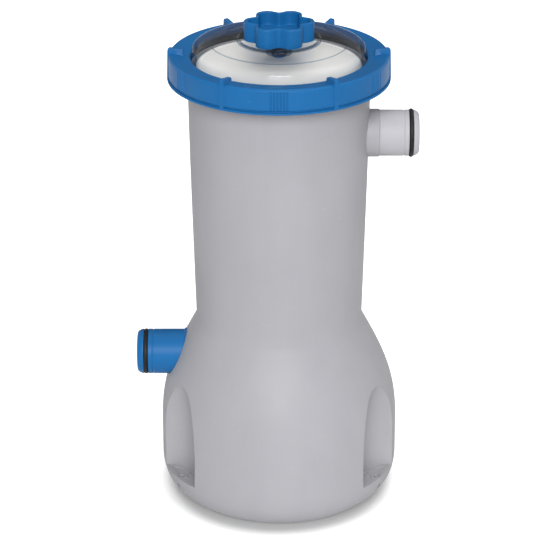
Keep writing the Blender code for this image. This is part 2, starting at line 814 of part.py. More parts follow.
def make_rotor(ferrite, plastic, steel, bronze, rotor):
    bore = SHAFT_R + 0.4 * MM
    low, shoulder = 26 * MM, 78 * MM
    profile = [
        (bore, low),
        (14.0 * MM, low),
        (14.4 * MM, low + 0.5 * MM),
        (14.4 * MM, shoulder - 0.5 * MM),
        (14.0 * MM, shoulder),
        (8 * MM, shoulder),
        (8 * MM, IMPELLER_LOW - GAP),
        (bore, IMPELLER_LOW - GAP),
    ]
    turned("magnet_rotor", profile, ferrite, rotor, steps=SMALL)

    disc_low = IMPELLER_LOW + 1.7 * MM
    disc_top = disc_low + 2 * MM
    hub = 8.5 * MM
    profile = [
        (bore, IMPELLER_LOW),
        (hub, IMPELLER_LOW),
        (hub, disc_low),
        (IMPELLER_R, disc_low),
        (IMPELLER_R, disc_top),
        (hub, disc_top),
        (hub - MM, IMPELLER_TOP - 2 * MM),
        (hub - 3 * MM, IMPELLER_TOP),
        (bore, IMPELLER_TOP),
    ]
    impeller = turned("impeller", profile, plastic, rotor, steps=SMALL)
    blades = bmesh.new()
    for i in range(BLADES):
        add_prism(
            blades,
            blade_outline(hub - 2 * MM, IMPELLER_R - 0.5 * MM, MM),
            disc_top - MM,
            IMPELLER_TOP - 1.5 * MM,
            upright(360 / BLADES * i),
        )
    boolean(impeller, place("impeller_blades", blades), "UNION")

    shaft_low = CAN_LOW + CAN_FLOOR + GAP
    shaft = [
        (0, shaft_low),
        (SHAFT_R - 0.3 * MM, shaft_low),
        (SHAFT_R, shaft_low + 0.3 * MM),
        (SHAFT_R, TOP_FLANGE_Z - 0.6 * MM),
        (SHAFT_R - 0.3 * MM, TOP_FLANGE_Z - GAP),
        (0, TOP_FLANGE_Z - GAP),
    ]
    turned("rotor_shaft", shaft, steel, steps=TINY)
    for name, height in (
        ("shaft_bush_lower", shaft_low),
        ("shaft_bush_upper", CHAMBER_TOP + GAP),
    ):
        turned(name, ring(BUSH_R, BUSH_OUT, height, height + BUSH_T), bronze, steps=TINY)


def blade_outline(inner, outer, half):
    """A backward-curved blade, from the hub to the rim."""
    sweep = math.radians(38)
    sides = ([], [])
    steps = 4
    for i in range(steps + 1):
        t = i / steps
        radius = inner + (outer - inner) * t
        angle = -sweep * t * t
        for side, offset in zip(sides, (half, -half)):
            turn = angle + offset / radius
            side.append((radius * math.cos(turn), radius * math.sin(turn)))
    return sides[0] + sides[1][::-1]


# ---------------------------------------------------------------- cable gland

GLAND_SHANK_R = 6.0 * MM
GLAND_FLANGE = BELL_R + GAP
SNOUT_R, SNOUT_TIP = 7.2 * MM, 95.0 * MM


def make_gland(plastic, rubber):
    """A gland for the mains lead, low at the back. The lead itself isn't part of the model."""
    at = lying("+Y", GLAND_Z)
    nut_at = GLAND_FLANGE + 3.2 * MM
    body = [
        (GLAND_BORE, BELL_R - 11 * MM),
        (GLAND_SHANK_R, BELL_R - 11 * MM),
        (GLAND_SHANK_R, GLAND_FLANGE),
        (10 * MM, GLAND_FLANGE),
        (10 * MM, nut_at),
        (SNOUT_R, nut_at),
        (SNOUT_R, SNOUT_TIP),
        (GLAND_BORE, SNOUT_TIP),
    ]
    turned("gland_body", body, plastic, matrix=at, steps=SMALL)
    low = nut_at + GAP
    nut = [
        (SNOUT_R + GAP, low),
        (9.8 * MM, low),
        (9.8 * MM, SNOUT_TIP),
        (8.6 * MM, SNOUT_TIP + 2.6 * MM),
        (6.0 * MM, SNOUT_TIP + 4.2 * MM),
        (4.2 * MM, SNOUT_TIP + 4.2 * MM),
        (4.2 * MM, SNOUT_TIP + 2.7 * MM),
        (SNOUT_R + GAP, SNOUT_TIP + 1.2 * MM),
    ]
    turned("gland_nut", nut, plastic, matrix=at, steps=SMALL)
    seal = ring(GLAND_BORE, 5.2 * MM, SNOUT_TIP + GAP, SNOUT_TIP + 1.5 * MM)
    turned("gland_seal", seal, rubber, matrix=at, steps=SMALL)
    inside = BELL_R - WALL - 0.2 * MM
    locknut = ring(GLAND_SHANK_R + GAP, 9.5 * MM, inside - 6.5 * MM, inside - 3 * MM)
    turned("gland_locknut", locknut, plastic, matrix=at, steps=SMALL)


# ---------------------------------------------------------------- lid, ring and valve

RIB_HALF_ANGLE = math.radians(1.3)
RIB_OUT, RIB_UP = 1.0 * MM, 3.9 * MM
RIB_END = 64.8 * MM  # the ribs stop here on top of the ring


def ring_angles():
    """Angles where the ring's ribs start and end, and a few between them."""
    angles = []
    edge = math.radians(0.5)
    section = 2 * math.pi / RIB_COUNT
    for i in range(RIB_COUNT):
        middle = section * i
        for side in (-1, 1):
            angles += [middle + side * RIB_HALF_ANGLE, middle + side * (RIB_HALF_ANGLE + edge)]
        angles += [middle + section * step / 6 for step in range(1, 6)]
    return sorted(angle % (2 * math.pi) for angle in angles)


def ring_wave(angle):
    """How far the ribs stand out and up from the ring at an angle."""
    section = 2 * math.pi / RIB_COUNT
    from_rib = abs((angle + section / 2) % section - section / 2)
    if from_rib < RIB_HALF_ANGLE + 1e-6:
        return RIB_OUT, RIB_UP
    return 0.0, 0.0


def make_ring(blue, turning):
    side = RING_R - MM
    profile = [
        (RING_INSIDE, RING_LOW),
        (RING_R, RING_LOW),
        (RING_R, RING_LOW + 1.4 * MM),
        (side, RING_LOW + 1.9 * MM, 1.0),
        (side - 0.3 * MM, RING_TOP - 1.3 * MM, 1.0),
        (side - 1.6 * MM, RING_TOP, 1.0),
        (RIB_END + 0.6 * MM, RING_TOP - 1.1 * MM, 0.95),
        (RIB_END, RING_TOP - 1.2 * MM),
        (RING_OPENING + 0.8 * MM, RING_TOP - 1.7 * MM),
        (RING_OPENING, RING_TOP - 2.4 * MM),
        (RING_OPENING, RING_TOP - 3.2 * MM),
        (RING_INSIDE, RING_TOP - 3.2 * MM),
    ]
    lock = turned("lock_ring", profile, blue, turning, angles=ring_angles(), wave=ring_wave)
    lugs = bmesh.new()
    for start in LUG_ANGLES:
        helical_lug(lugs, start + 15, RING_LOW + 0.2 * MM, RING_INSIDE + MM, RING_LUG_R, 2.2 * MM)
    boolean(lock, place("ring_lugs", lugs), "UNION")


def make_lid(clear, rubber, lid):
    shelf = 46.6 * MM
    collar = 28.6 * MM
    shoulder = curve(
        (LID_R - 0.2 * MM, 331.0 * MM),
        (LID_R - 0.4 * MM, 334.6 * MM),
        (56.0 * MM, 335.6 * MM),
        (shelf + 0.6 * MM, 336.4 * MM),
        4,
    )
    under = curve(
        (shelf + 0.6 * MM, 336.4 * MM - LID_T),
        (54.4 * MM, 335.4 * MM - LID_T),
        (LID_R - 0.4 * MM - LID_T, 334.0 * MM - LID_T),
        (LID_R - 0.2 * MM - LID_T, 329.0 * MM),
        4,
    )
    profile = [
        (LID_R - LID_T, LID_LOW),
        (LID_FLANGE_R, LID_LOW),
        (LID_FLANGE_R, LID_LOW + 2.5 * MM),
        (LID_R, LID_LOW + 2.5 * MM),
        (LID_R - 0.2 * MM, 331.0 * MM),
        *shoulder,
        (shelf, 337.2 * MM),
        (collar, LID_TOP),
        (collar, LID_TOP + 2.4 * MM),
        (collar - 1.6 * MM, LID_TOP + 2.4 * MM),
        (collar - 1.6 * MM, LID_TOP),
        (VALVE_HOLE, LID_TOP),
        (VALVE_HOLE, LID_TOP - 9 * MM),
        (9 * MM, LID_TOP - 9 * MM),
        (9 * MM, LID_TOP - LID_T),
        (shelf - 2 * MM, 337.2 * MM - LID_T),
        (shelf + 0.6 * MM, 336.4 * MM - LID_T),
        *under,
    ]
    turned("lid_dome", profile, clear, lid, steps=LARGE)
    gasket = ring(60.2 * MM, 65.6 * MM, RIM_Z + GAP, LID_LOW - GAP)
    turned("lid_gasket", gasket, rubber, lid, steps=MEDIUM)


def knob_wave(angle):
    """Rounded lobes with tighter hollows between them."""
    tighter = 0.18
    lobes = math.cos(KNOB_LOBES * angle) + tighter * (1 - math.cos(2 * KNOB_LOBES * angle))
    return KNOB_WAVE * lobes, 0.0


def make_valve(blue, rubber, valve, turning):
    washer = ring(VALVE_HOLE + GAP, 10.5 * MM, LID_TOP + GAP, KNOB_FLOOR - GAP)
    turned("valve_washer", washer, rubber, valve, steps=SMALL)
    stem = VALVE_HOLE - 0.4 * MM
    profile = [
        (0, LID_TOP - 11 * MM),
        (stem - MM, LID_TOP - 11 * MM),
        (stem, LID_TOP - 10 * MM),
        (stem, KNOB_FLOOR),
        (KNOB_MEAN - KNOB_WALL, KNOB_FLOOR, 0.9),
        (KNOB_MEAN - KNOB_WALL, KNOB_LOW, 0.9),
        (KNOB_MEAN - 0.3 * MM, KNOB_LOW, 1.0),
        (KNOB_MEAN, KNOB_LOW + 0.5 * MM, 1.0),
        (KNOB_MEAN, KNOB_TOP - MM, 1.0),
        (KNOB_MEAN - 0.8 * MM, KNOB_TOP, 1.0),
        (KNOB_MEAN - KNOB_WALL + 0.3 * MM, KNOB_TOP, 0.9),
        (KNOB_MEAN - KNOB_WALL, KNOB_TOP - 0.6 * MM, 0.9),
        (KNOB_MEAN - KNOB_WALL - 0.6 * MM, KNOB_FLOOR + KNOB_T, 0.85),
        (0, KNOB_FLOOR + KNOB_T),
    ]
    around = 6 * KNOB_LOBES
    turned("air_valve_knob", profile, blue, turning, steps=around, wave=knob_wave)


# ---------------------------------------------------------------- cartridge


def make_cartridge(white, paper, cartridge):
    soft = 0.8 * MM
    low, high = CARTRIDGE_LOW, CARTRIDGE_LOW + CAP_T
    profile = [
        (CORE_R, low + soft),
        (CORE_R + soft, low),
        (CARTRIDGE_R - soft, low),
        (CARTRIDGE_R, low + soft),
        (CARTRIDGE_R, high - soft),
        (CARTRIDGE_R - soft, high),
        (CORE_R + soft, high),
        (CORE_R, high - soft),
    ]
    turned("cartridge_bottom_cap", profile, white, cartridge, steps=MEDIUM)
    low, high = CARTRIDGE_TOP - CAP_T, CARTRIDGE_TOP
    profile = [
        (0, low),
        (TOP_CAP_R - soft, low),
        (TOP_CAP_R, low + soft),
        (TOP_CAP_R, high - soft),
        (TOP_CAP_R - soft, high),
        (0, high),
    ]
    turned("cartridge_top_cap", profile, white, cartridge, steps=MEDIUM)

    low = CARTRIDGE_LOW + CAP_T + GAP
    high = CARTRIDGE_TOP - CAP_T - GAP
    wall = ring(CORE_R + MM, CORE_R + 3 * MM, low, high)
    core = turned("cartridge_core", wall, white, cartridge, steps=SMALL)
    windows = bmesh.new()
    levels = 3
    pitch = (high - low) / levels
    for level in range(levels):
        middle = low + (level + 0.5) * pitch
        for i in range(6):
            add_box(
                windows,
                (CORE_R - 3 * MM, 30 * MM),
                (-5 * MM, 5 * MM),
                (middle - 0.36 * pitch, middle + 0.36 * pitch),
                upright(60 * i),
            )
    boolean(core, place("core_windows", windows))

    fold_in, fold_out, paper_t = 28.5 * MM, 50.0 * MM, 1.0 * MM
    angles = even_angles(2 * PLEATS)
    reach = {angle: fold_out if i % 2 else fold_in for i, angle in enumerate(angles)}
    face = 0.1 * MM
    profile = [
        (face, low, 1.0),
        (face + paper_t, low, 1.0),
        (face + paper_t, high, 1.0),
        (face, high, 1.0),
    ]
    turned(
        "filter_pleats",
        profile,
        paper,
        cartridge,
        angles=angles,
        wave=lambda angle: (reach[angle], 0.0),
    )


# ---------------------------------------------------------------- the whole pump


def main():
    clear_scene()
    grey = finish("housing_grey", (0.48, 0.475, 0.505), 0.45)
    blue = finish("fitting_blue", (0.045, 0.17, 0.42), 0.4)
    rubber = finish("black_rubber", (0.02, 0.02, 0.022), 0.75)
    dark = finish("dark_plastic", (0.04, 0.04, 0.045), 0.5)
    clear = finish("clear_plastic", (0.85, 0.88, 0.9), 0.08)
    white = finish("white_plastic", (0.82, 0.81, 0.77), 0.5)
    paper = finish("filter_paper", (0.8, 0.8, 0.78), 0.9)
    steel = finish("screw_steel", (0.6, 0.6, 0.6), 0.35, 1.0)
    laminations = finish("stator_steel", (0.3, 0.3, 0.32), 0.55, 0.9)
    copper = finish("winding_copper", (0.55, 0.22, 0.09), 0.4, 0.9)
    ferrite = finish("magnet_ferrite", (0.06, 0.06, 0.065), 0.6, 0.2)
    bronze = finish("bush_bronze", (0.5, 0.34, 0.14), 0.45, 0.9)

    lid = pivot("lid_lift", RIM_Z)
    turning = pivot("ring_turn", RING_LOW)
    valve = pivot("valve_lift", LID_TOP)
    knob = pivot("knob_turn", KNOB_LOW)
    cartridge = pivot("cartridge_lift", CARTRIDGE_LOW)
    rotor = pivot("rotor_spin", LOWER_Z)

    make_housing(grey)
    make_base(grey, steel)
    make_ports(grey, blue, rubber)
    make_casing(dark)
    make_duct(dark, rubber)
    make_screws(steel)
    make_casing_seal(rubber)
    make_cup(dark, rubber)
    make_can(dark)
    make_stator(laminations, copper, dark)
    make_rotor(ferrite, white, steel, bronze, rotor)
    make_gland(dark, rubber)
    make_ring(blue, turning)
    make_lid(clear, rubber, lid)
    make_valve(blue, rubber, valve, knob)
    make_cartridge(white, paper, cartridge)


main()
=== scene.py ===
"""Looks of the upright cartridge filter pump, built around its CAD frame.

Profiles are in millimetres, as (distance from the axis, height); objects are made in metres.
+Z is up, -Y is the front, the upper hose port points to +X and the lower one to -X.
"""

import math

import bmesh
import bpy
from mathutils import Matrix, Vector


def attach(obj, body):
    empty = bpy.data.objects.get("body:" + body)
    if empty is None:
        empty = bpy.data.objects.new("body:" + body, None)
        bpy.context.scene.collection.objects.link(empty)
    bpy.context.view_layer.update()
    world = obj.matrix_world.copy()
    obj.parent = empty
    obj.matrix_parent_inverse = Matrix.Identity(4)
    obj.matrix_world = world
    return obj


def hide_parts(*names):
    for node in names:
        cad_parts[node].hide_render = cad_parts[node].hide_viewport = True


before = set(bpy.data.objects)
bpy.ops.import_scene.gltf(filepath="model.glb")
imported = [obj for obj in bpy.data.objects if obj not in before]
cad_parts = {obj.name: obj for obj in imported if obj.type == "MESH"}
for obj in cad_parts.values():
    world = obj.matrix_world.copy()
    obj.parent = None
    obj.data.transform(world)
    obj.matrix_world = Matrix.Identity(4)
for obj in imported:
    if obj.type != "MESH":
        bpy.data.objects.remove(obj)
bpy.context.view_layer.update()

MM = 0.001
TAU = 2 * math.pi
SHARP = math.radians(30)

# ---------------------------------------------------------------- dimensions, in millimetres

FOOT_R, BELL_R = 64.7, 84.1
BELL_ROUND_TOP, BELL_STRAIGHT_TOP = 29.5, 54.0
CREASE_R, CREASE_Z = 58.5, 134.5
CANISTER_MID, CANISTER_MID_Z = 61.5, 247.0
CANISTER_R, CANISTER_TOP = 62.6, 309.5
COLLAR_R, RIM_Z = 66.5, 320.5
WALL = 3.0
FLOOR_Z, FLOOR_UNDER = 178.0, 174.5
SUMP_R, SUMP_TOP = 34.0, 184.7
SPIGOT_R, SPIGOT_TOP = 22.6, 192.0
OUTLET_R, OUTLET_Z = 14.0, 184.0
BASE_SCREW_AT, CASING_SCREW_AT, SCREW_HOLE_R = 56, 50, 1.9
BOSS_R, BOSS_LOW, BLOCK_TOP = 7, 122.7, 194
POCKET_ANGLES = (-150, -30, 30, 150)
SCOOP_R, SCOOP_AT = 28.2, 96.7
SCOOP_DRAFT, DRAFT_TOP = 2.0, 70
LEDGE_Z, SCOOP_SPRING, SCOOP_TOP = 25.0, 32.5, 115.5
FOOT_HOLE_R, FOOT_HOLE_AT = 2.4, 80.4
PORT_R, PORT_BORE = 16.0, 12.0
UPPER_Z, UPPER_TIP = 271.0, 96.4
LOWER_Z, LOWER_TIP = 104.4, 101.1
GLAND_Z = 30.0
KNOB_LOW, KNOB_FLOOR, KNOB_TOP = 338.4, 341.0, 352.0


# ---------------------------------------------------------------- shapes


def softened(points, steps=4):
    """Rounds each corner that has a third number, its setback."""
    made = []
    for i, point in enumerate(points):
        here = Vector(point[:2])
        if len(point) < 3:
            made.append(tuple(here))
            continue
        back = Vector(points[i - 1][:2]) - here
        ahead = Vector(points[(i + 1) % len(points)][:2]) - here
        cut = min(point[2], 0.48 * back.length, 0.48 * ahead.length)
        start = here + back.normalized() * cut
        end = here + ahead.normalized() * cut
        for k in range(steps + 1):
            t = k / steps
            made.append(tuple((1 - t) ** 2 * start + 2 * t * (1 - t) * here + t * t * end))
    return made


def bezier(start, pull, draw, end, steps):
    """Points of a cubic Bezier after its start."""
    made = []
    for i in range(1, steps + 1):
        t = i / steps
        weights = ((1 - t) ** 3, 3 * t * (1 - t) ** 2, 3 * t * t * (1 - t), t**3)
        made.append(
            tuple(sum(w * p[k] for w, p in zip(weights, (start, pull, draw, end))) for k in (0, 1))
        )
    return made


def divided(points, longest):
    """Splits the long straight stretches of a closed profile."""
    made = []
    for here, ahead in zip(points, points[1:] + points[:1]):
        a, b = Vector(here), Vector(ahead)
        count = max(1, math.ceil((b - a).length / longest))
        made += [tuple(a.lerp(b, k / count)) for k in range(count)]
    return made


def add_turned(bm, profile, matrix=None, sides=96, shape=None, phase=0.0):
    """Turns a closed profile about Z. shape(angle, radius, height) can move each point."""
    rows = []
    for radius, height in profile:
        if radius < 1e-6:
            rows.append([bm.verts.new((0, 0, height * MM))] * sides)
            continue
        row = []
        for k in range(sides):
            angle = TAU * (k + phase) / sides
            r, z = shape(angle, radius, height) if shape else (radius, height)
            row.append(bm.verts.new((r * math.cos(angle) * MM, r * math.sin(angle) * MM, z * MM)))
        rows.append(row)
    for low, high in zip(rows, rows[1:] + rows[:1]):
        for i in range(sides):
            j = (i + 1) % sides
            corners = list(dict.fromkeys((low[i], low[j], high[j], high[i])))
            if len(corners) > 2:
                bm.faces.new(corners)
    if matrix:
        made = list({v for row in rows for v in row})
        bmesh.ops.transform(bm, matrix=matrix, verts=made)


def add_prism(bm, outline, low, high, matrix=None):
    """Extrudes an outline of (x, y) points from low to high."""
    bottom = [bm.verts.new((x * MM, y * MM, low * MM)) for x, y in outline]
    top = [bm.verts.new((x * MM, y * MM, high * MM)) for x, y in outline]
    bm.faces.new(bottom[::-1])
    bm.faces.new(top)
    for i in range(len(outline)):
        j = (i + 1) % len(outline)
        bm.faces.new((bottom[i], bottom[j], top[j], top[i]))
    if matrix:
        bmesh.ops.transform(bm, matrix=matrix, verts=bottom + top)


def add_box(bm, x, y, z, matrix=None):
    add_prism(bm, [(x[0], y[0]), (x[1], y[0]), (x[1], y[1]), (x[0], y[1])], z[0], z[1], matrix)


def rod(radius, low, high):
    return [(0, low), (radius, low), (radius, high), (0, high)]


def tube(inner, outer, low, high, soft=0.0):
    corners = [(inner, low), (outer, low), (outer, high), (inner, high)]
    return softened([(*c, soft) for c in corners]) if soft else corners


def lying(direction, height):
    """Turns a shape's own +Z into the world direction +X, -X or +Y, at a height."""
    axis, degrees = {"+X": ("Y", 90), "-X": ("Y", -90), "+Y": ("X", -90)}[direction]
    return Matrix.Translation((0, 0, height * MM)) @ Matrix.Rotation(math.radians(degrees), 4, axis)


def upright(degrees, radius=0.0):
    """Moves a shape out to a radius and turns it about Z, its +X outwards."""
    turn = Matrix.Rotation(math.radians(degrees), 4, "Z")
    return turn @ Matrix.Translation((radius * MM, 0, 0))


def made_object(name, bm):
    bmesh.ops.recalc_face_normals(bm, faces=bm.faces)
    mesh = bpy.data.meshes.new(name)
    bm.to_mesh(mesh)
    bm.free()
    mesh.shade_smooth()
    mesh.set_sharp_from_angle(angle=SHARP)
    obj = bpy.data.objects.new(name, mesh)
    bpy.context.scene.collection.objects.link(obj)
    return obj


def turned(name, profile, **how):
    bm = bmesh.new()
    add_turned(bm, profile, **how)
    return made_object(name, bm)


def carved(target, *steps):
    """Applies boolean steps, each (operation, cutter), and drops the cutters."""
    for operation, cutter in steps:
        step = target.modifiers.new(cutter.name, "BOOLEAN")
        step.operation = operation
        step.solver = "EXACT"
        step.object = cutter
    graph = bpy.context.evaluated_depsgraph_get()
    mesh = bpy.data.meshes.new_from_object(target.evaluated_get(graph))
    target.modifiers.clear()
    old = target.data
    target.data = mesh
    mesh.name = target.name
    bpy.data.meshes.remove(old)
    for _, cutter in steps:
        bpy.data.meshes.remove(cutter.data)
    mesh.shade_smooth()
    mesh.set_sharp_from_angle(angle=SHARP)
    return target


# ---------------------------------------------------------------- materials


class Coat:
    """A procedural material: tone, grain and wear laid over a base colour."""

    def __init__(self, name):
        self.material = bpy.data.materials.new(name)
        self.material.use_nodes = True
        self.tree = self.material.node_tree
        self.shader = self.tree.nodes["Principled BSDF"]
        self.place = self.node("ShaderNodeTexCoord").outputs["Object"]

    def node(self, kind, **settings):
        made = self.tree.nodes.new(kind)
        for key, value in settings.items():
            setattr(made, key, value)
        return made

    def link(self, source, target):
        self.tree.links.new(source, target)

    def noise(self, scale, detail=4.0, rough=0.55, stretch=None):
        place = self.place
        if stretch:
            mapping = self.node("ShaderNodeMapping")
            mapping.inputs["Scale"].default_value = stretch
            self.link(place, mapping.inputs["Vector"])
            place = mapping.outputs["Vector"]
        made = self.node("ShaderNodeTexNoise")
        made.inputs["Scale"].default_value = scale
        made.inputs["Detail"].default_value = detail
        made.inputs["Roughness"].default_value = rough
        self.link(place, made.inputs["Vector"])
        return made.outputs["Fac"]

    def ramp(self, fac, *stops):
        """stops are (position, colour or grey)."""
        made = self.node("ShaderNodeValToRGB")
        elements = made.color_ramp.elements
        while len(elements) < len(stops):
            elements.new(0.5)
        for element, (position, value) in zip(elements, stops):
            element.position = position
            colour = value if hasattr(value, "__len__") else (value, value, value)
            element.color = (*colour, 1.0)
        self.link(fac, made.inputs["Fac"])
        return made.outputs["Color"]

    def mixed(self, fac, one, two, mode="MIX"):
        made = self.node("ShaderNodeMix", data_type="RGBA", blend_type=mode)
        if isinstance(fac, float):
            made.inputs[0].default_value = fac
        else:
            self.link(fac, made.inputs[0])
        for value, socket in ((one, made.inputs[6]), (two, made.inputs[7])):
            if isinstance(value, tuple):
                socket.default_value = (*value, 1.0)
            else:
                self.link(value, socket)
        return made.outputs[2]

    def number(self, operation, one, two=0.0):
        made = self.node("ShaderNodeMath", operation=operation)
        for value, socket in ((one, made.inputs[0]), (two, made.inputs[1])):
            if isinstance(value, (int, float)):
                socket.default_value = value
            else:
                self.link(value, socket)
        return made.outputs[0]

    def bumped(self, *layers, soft=0.0):
        """Chains bumps, each (height, distance in mm, strength). soft rounds hard edges, in mm."""
        normal = None
        if soft:
            bevel = self.node("ShaderNodeBevel", samples=4)
            bevel.inputs["Radius"].default_value = soft * MM
            normal = bevel.outputs["Normal"]
        for height, distance, strength in layers:
            bump = self.node("ShaderNodeBump")
            bump.inputs["Distance"].default_value = distance * MM
            bump.inputs["Strength"].default_value = strength
            self.link(height, bump.inputs["Height"])
            if normal:
                self.link(normal, bump.inputs["Normal"])
            normal = bump.outputs["Normal"]
        self.link(normal, self.shader.inputs["Normal"])

    def worn(self, low=0.52, high=0.6):
        """Near 1 on edges and corners, 0 elsewhere, broken up by noise."""
        point = self.node("ShaderNodeNewGeometry").outputs["Pointiness"]
        edge = self.ramp(point, (low, 0.0), (high, 1.0))
        patch = self.ramp(self.noise(90, 5), (0.42, 0.0), (0.62, 1.0))
        return self.number("MULTIPLY", edge, patch)


def plastic(name, base, rough, tone=0.06, grain=0.5, soft=0.0, edge=0.25, dust=0.05, gloss=0.5):
    """Moulded plastic: uneven tone, fine moulded grain, rubbed edges and a little dust."""
    coat = Coat(name)
    dark = tuple(c * (1 - tone) for c in base)
    light = tuple(min(1.0, c * (1 + tone)) for c in base)
    colour = coat.ramp(coat.noise(14, 3), (0.3, dark), (0.7, light))
    streak = coat.ramp(coat.noise(40, 6, 0.6, (1, 1, 0.12)), (0.35, 0.96), (0.65, 1.0))
    colour = coat.mixed(1.0, colour, streak, "MULTIPLY")
    pale = tuple(c + (0.8 - c) * 0.35 for c in base)
    rubbed = coat.number("MULTIPLY", coat.worn(), edge)
    colour = coat.mixed(rubbed, colour, pale)
    speck = coat.ramp(coat.noise(420, 2, 0.5), (0.68, 0.0), (0.74, 1.0))
    colour = coat.mixed(coat.number("MULTIPLY", speck, dust), colour, (0.75, 0.74, 0.71))
    coat.link(colour, coat.shader.inputs["Base Color"])
    patchy = coat.ramp(coat.noise(25, 5), (0.3, rough * 0.88), (0.7, min(1.0, rough * 1.12)))
    coat.link(patchy, coat.shader.inputs["Roughness"])
    coat.shader.inputs["Specular IOR Level"].default_value = gloss
    coat.bumped(
        (coat.noise(2600, 2), 0.02, grain),
        (coat.noise(60, 2), 0.12, 0.12),
        soft=soft,
    )
    return coat.material


def rubber_coat(name):
    coat = Coat(name)
    colour = coat.ramp(coat.noise(120, 6), (0.35, (0.004, 0.004, 0.005)), (0.7, (0.012, 0.012, 0.013)))
    coat.link(colour, coat.shader.inputs["Base Color"])
    coat.link(coat.ramp(coat.noise(70, 5), (0.3, 0.42), (0.7, 0.62)), coat.shader.inputs["Roughness"])
    coat.shader.inputs["Specular IOR Level"].default_value = 0.25
    coat.bumped((coat.noise(1500, 3), 0.03, 0.6))
    return coat.material


def metal_coat(name, dark, light, rough, stretch=(1, 1, 1)):
    coat = Coat(name)
    colour = coat.ramp(coat.noise(160, 8, 0.6, stretch), (0.3, dark), (0.7, light))
    stain = coat.ramp(coat.noise(35, 6, 0.7), (0.5, 0.0), (0.72, 0.5))
    colour = coat.mixed(stain, colour, tuple(c * 0.55 for c in dark))
    coat.link(colour, coat.shader.inputs["Base Color"])
    coat.shader.inputs["Metallic"].default_value = 0.95
    coat.link(
        coat.ramp(coat.noise(90, 6), (0.3, rough * 0.75), (0.7, rough * 1.3)),
        coat.shader.inputs["Roughness"],
    )
    coat.bumped((coat.noise(700, 5, 0.6, stretch), 0.03, 0.5))
    return coat.material


def paper_coat(name):
    coat = Coat(name)
    colour = coat.ramp(coat.noise(220, 7), (0.3, (0.70, 0.70, 0.68)), (0.7, (0.84, 0.84, 0.82)))
    stain = coat.ramp(coat.noise(18, 4), (0.5, 0.0), (0.8, 0.25))
    colour = coat.mixed(stain, colour, (0.62, 0.58, 0.48))
    coat.link(colour, coat.shader.inputs["Base Color"])
    coat.link(coat.ramp(coat.noise(60, 3), (0.3, 0.82), (0.7, 0.95)), coat.shader.inputs["Roughness"])
    fibre = coat.noise(900, 6, 0.65, (1, 1, 0.25))
    coat.bumped((fibre, 0.06, 0.8))
    return coat.material


# Slate colour of the painted shade laid on the clear wall's steep faces.
PAINTED_WALL_SHADE = (0.36, 0.43, 0.51)
CLEAR_TINT = (0.985, 0.988, 0.99)
OUTER_WALL_FROM = 50.0


def clear_coat(name):
    """See-through plastic. Steep surfaces have a painted slate shade, except the outside of the outer
    wall.
    """
    coat = Coat(name)
    facing = coat.node("ShaderNodeLayerWeight")
    facing.inputs["Blend"].default_value = 0.5
    angle = facing.outputs["Facing"]
    haze = coat.ramp(coat.noise(35, 6), (0.3, 0.985), (0.75, 1.0))
    normal = coat.node("ShaderNodeNewGeometry").outputs["Normal"]
    slope = coat.node("ShaderNodeSeparateXYZ")
    coat.link(normal, slope.inputs[0])
    flat = coat.node("ShaderNodeVectorMath", operation="MULTIPLY")
    flat.inputs[1].default_value = (1.0, 1.0, 0.0)
    coat.link(coat.place, flat.inputs[0])
    length = coat.node("ShaderNodeVectorMath", operation="LENGTH")
    coat.link(flat.outputs[0], length.inputs[0])
    outwards = coat.node("ShaderNodeVectorMath", operation="NORMALIZE")
    coat.link(flat.outputs[0], outwards.inputs[0])
    outer = coat.node("ShaderNodeVectorMath", operation="DOT_PRODUCT")
    coat.link(outwards.outputs[0], outer.inputs[0])
    coat.link(normal, outer.inputs[1])
    outside = coat.number("GREATER_THAN", outer.outputs["Value"], 0.0)
    wide = coat.number("GREATER_THAN", length.outputs["Value"], OUTER_WALL_FROM * MM)
    outer_wall = coat.number("MULTIPLY", outside, wide)
    # Painted shade: steep faces get a slate tint that stands in for the shaded inside seen through the
    # clear wall; the outside of the outer wall stays clear.
    deep = coat.ramp(
        coat.number("ABSOLUTE", slope.outputs["Z"]),
        (0.0, PAINTED_WALL_SHADE),
        (0.6, tuple(c + 0.12 for c in PAINTED_WALL_SHADE)),
        (0.93, (0.9, 0.92, 0.94)),
        (1.0, CLEAR_TINT),
    )
    shaded_or_clear_tint = coat.mixed(outer_wall, deep, CLEAR_TINT)
    clear = coat.node("ShaderNodeBsdfTransparent")
    coat.link(coat.mixed(1.0, shaded_or_clear_tint, haze, "MULTIPLY"), clear.inputs["Color"])
    film = coat.ramp(coat.noise(22, 5), (0.35, 0.02), (0.8, 0.035))
    edge_on = coat.number("MULTIPLY", coat.number("POWER", angle, 6.0), 0.8)
    shine = coat.number("ADD", edge_on, film)
    glossy = coat.node("ShaderNodeBsdfAnisotropic")
    glossy.inputs["Color"].default_value = (0.95, 0.97, 1.0, 1.0)
    coat.link(coat.ramp(coat.noise(50, 4), (0.3, 0.05), (0.8, 0.12)), glossy.inputs["Roughness"])
    bump = coat.node("ShaderNodeBump")
    bump.inputs["Distance"].default_value = 0.01 * MM
    bump.inputs["Strength"].default_value = 0.3
    coat.link(coat.noise(300, 6, 0.7, (1, 1, 0.2)), bump.inputs["Height"])
    coat.link(bump.outputs["Normal"], glossy.inputs["Normal"])
    mix = coat.node("ShaderNodeMixShader")
    coat.link(shine, mix.inputs[0])
    coat.link(clear.outputs[0], mix.inputs[1])
    coat.link(glossy.outputs[0], mix.inputs[2])
    out = next(n for n in coat.tree.nodes if n.type == "OUTPUT_MATERIAL")
    coat.link(mix.outputs[0], out.inputs["Surface"])
    coat.tree.nodes.remove(coat.shader)
    return coat.material


